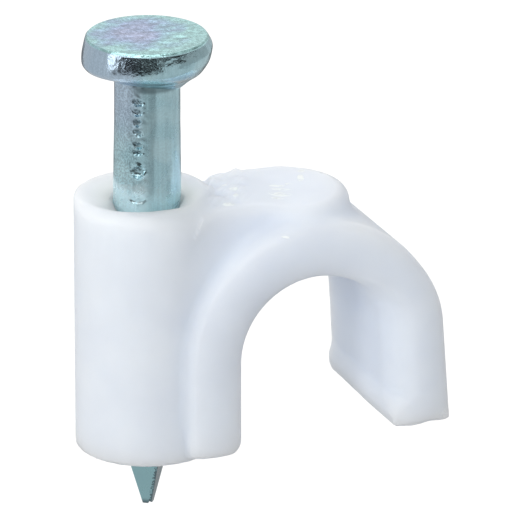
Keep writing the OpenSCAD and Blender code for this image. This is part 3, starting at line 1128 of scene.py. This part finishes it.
def make_camera():
    """The camera, the way from the part to it and the way to its right."""
    level = math.cos(ELEVATION)
    back = Vector((math.sin(AZIMUTH) * level, -math.cos(AZIMUTH) * level, math.sin(ELEVATION)))
    right = Vector((math.cos(AZIMUTH), math.sin(AZIMUTH), 0))
    up = back.cross(right)
    foot = Vector((0, 0, FOOT_LEVEL))
    place = foot + back * DISTANCE
    middle = FRAME_PIXELS / 2
    aim = foot + right * ((middle - FOOT_PIXEL[0]) * PIXEL) + up * ((FOOT_PIXEL[1] - middle) * PIXEL)
    data = bpy.data.cameras.new("camera")
    camera = bpy.data.objects.new("camera", data)
    bpy.context.scene.collection.objects.link(camera)
    camera.location = place * MM
    camera.rotation_mode = "QUATERNION"
    camera.rotation_quaternion = (aim - place).to_track_quat("-Z", "Y")
    data.sensor_width = SENSOR_WIDTH
    data.lens = SENSOR_WIDTH * (DISTANCE / PIXEL) / FRAME_PIXELS
    data.clip_start = NEAREST * MM
    data.clip_end = FARTHEST * MM
    bpy.context.scene.camera = camera
    return camera, back, right


def set_strength(nodes, links, socket, light, reflected):
    """A strength for light and one for reflections, with white for the camera."""
    path = nodes.new("ShaderNodeLightPath")
    value = light
    for ray, strength in (("Is Glossy Ray", reflected), ("Is Camera Ray", SEEN_WHITE)):
        mix = nodes.new("ShaderNodeMix")
        mix.data_type = "FLOAT"
        if hasattr(value, "links"):
            links.new(value, mix.inputs["A"])
        else:
            mix.inputs["A"].default_value = value
        mix.inputs["B"].default_value = strength
        links.new(path.outputs[ray], mix.inputs["Factor"])
        value = mix.outputs["Result"]
    links.new(value, socket)


def make_world(toward):
    """A white studio that is brighter behind the part."""
    world = bpy.data.worlds.new("studio")
    bpy.context.scene.world = world
    world.use_nodes = True
    nodes, links = world.node_tree.nodes, world.node_tree.links
    background = nodes["Background"]
    background.inputs["Color"].default_value = (*WHITE, 1)
    behind = nodes.new("ShaderNodeVectorMath")
    behind.operation = "DOT_PRODUCT"
    behind.inputs[1].default_value = -toward
    links.new(nodes.new("ShaderNodeTexCoord").outputs["Generated"], behind.inputs[0])
    glow = nodes.new("ShaderNodeMapRange")
    links.new(behind.outputs["Value"], glow.inputs["Value"])
    for socket, number in zip(("From Min", "From Max", "To Min", "To Max"), WORLD_LIGHT_SPAN + WORLD_LIGHT):
        glow.inputs[socket].default_value = number
    set_strength(nodes, links, background.inputs["Strength"], glow.outputs["Result"], WORLD_REFLECTED)


def stage_mesh(name, vertices, faces):
    """A glowing piece of the stage, from points in metres."""
    mesh = bpy.data.meshes.new(name)
    mesh.from_pydata([tuple(v) for v in vertices], [], faces)
    piece = bpy.data.objects.new(name, mesh)
    bpy.context.scene.collection.objects.link(piece)
    material = bpy.data.materials.new(name + "_looks")
    material.use_nodes = True
    nodes, links = material.node_tree.nodes, material.node_tree.links
    nodes.remove(nodes["Principled BSDF"])
    glow = nodes.new("ShaderNodeEmission")
    links.new(glow.outputs["Emission"], nodes["Material Output"].inputs["Surface"])
    mesh.materials.append(material)
    return piece, nodes, links, glow.inputs["Strength"]


def make_floor():
    """A pale floor at the level of the nail's tip."""
    reach = FLOOR_REACH * MM
    low = POINT_LOW * MM
    corners = [(-reach, -reach, low), (reach, -reach, low), (reach, reach, low), (-reach, reach, low)]
    _, nodes, links, strength = stage_mesh("floor", corners, [(0, 1, 2, 3)])
    set_strength(nodes, links, strength, FLOOR_LIGHT, FLOOR_REFLECTED)


def make_card(name, right, toward, bearings, rises, distance, brightness):
    """A curved card round the nail's head, which is only seen in reflections."""
    steps = CARD_STEPS
    up = Vector((0, 0, 1))
    vertices = []
    for rise in np.radians(np.linspace(*rises, steps)):
        for bearing in np.radians(np.linspace(*bearings, steps)):
            level = toward * math.cos(bearing) + right * math.sin(bearing)
            way = level * math.cos(rise) + up * math.sin(rise)
            vertices.append(way * distance * MM + up * CARD_CENTRE * MM)
    faces = [(i * steps + j, i * steps + j + 1, (i + 1) * steps + j + 1, (i + 1) * steps + j)
             for i in range(steps - 1) for j in range(steps - 1)]
    piece, _, _, strength = stage_mesh(name, vertices, faces)
    strength.default_value = brightness
    piece.visible_camera = False
    piece.visible_diffuse = False
    piece.visible_shadow = False
    piece.visible_transmission = False


def soft_light(name, direction, size, strength, colour):
    """A square light that lights the part from a direction and isn't mirrored in it."""
    data = bpy.data.lights.new(name, "AREA")
    data.shape = "RECTANGLE"
    data.size = size * MM
    data.size_y = size * MM
    data.energy = strength
    data.color = colour
    light = bpy.data.objects.new(name, data)
    bpy.context.scene.collection.objects.link(light)
    light.location = (Vector(LIGHT_CENTRE) + direction.normalized() * LIGHT_DISTANCE) * MM
    light.rotation_mode = "QUATERNION"
    light.rotation_quaternion = (-direction).to_track_quat("-Z", "Y")
    light.visible_glossy = False


def make_stage(right, toward):
    """Pale floor, white studio and soft lights. Reflections on the nail come from a few cards round it."""
    up = Vector((0, 0, 1))
    make_world(toward)
    make_floor()
    for name, (bearings, rises, distance, brightness) in CARDS.items():
        make_card(name, right, toward, bearings, rises, distance, brightness)
    for name, (way, size, strength, colour) in LIGHTS.items():
        soft_light(name, right * way[0] + toward * way[1] + up * way[2], size, strength, colour)
    view = bpy.context.scene.view_settings
    view.view_transform = "Standard"
    view.look = "None"


camera, back, right = make_camera()
toward = Vector((back.x, back.y, 0)).normalized()
make_stage(right, toward)

moulding = make_clip()
moulding.data.materials.append(plastic(camera))
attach(moulding, "root")
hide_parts("clip_body")

nail = make_nail()
nail.data.materials.append(zinc(right, toward))
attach(nail, "root")
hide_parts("nail")
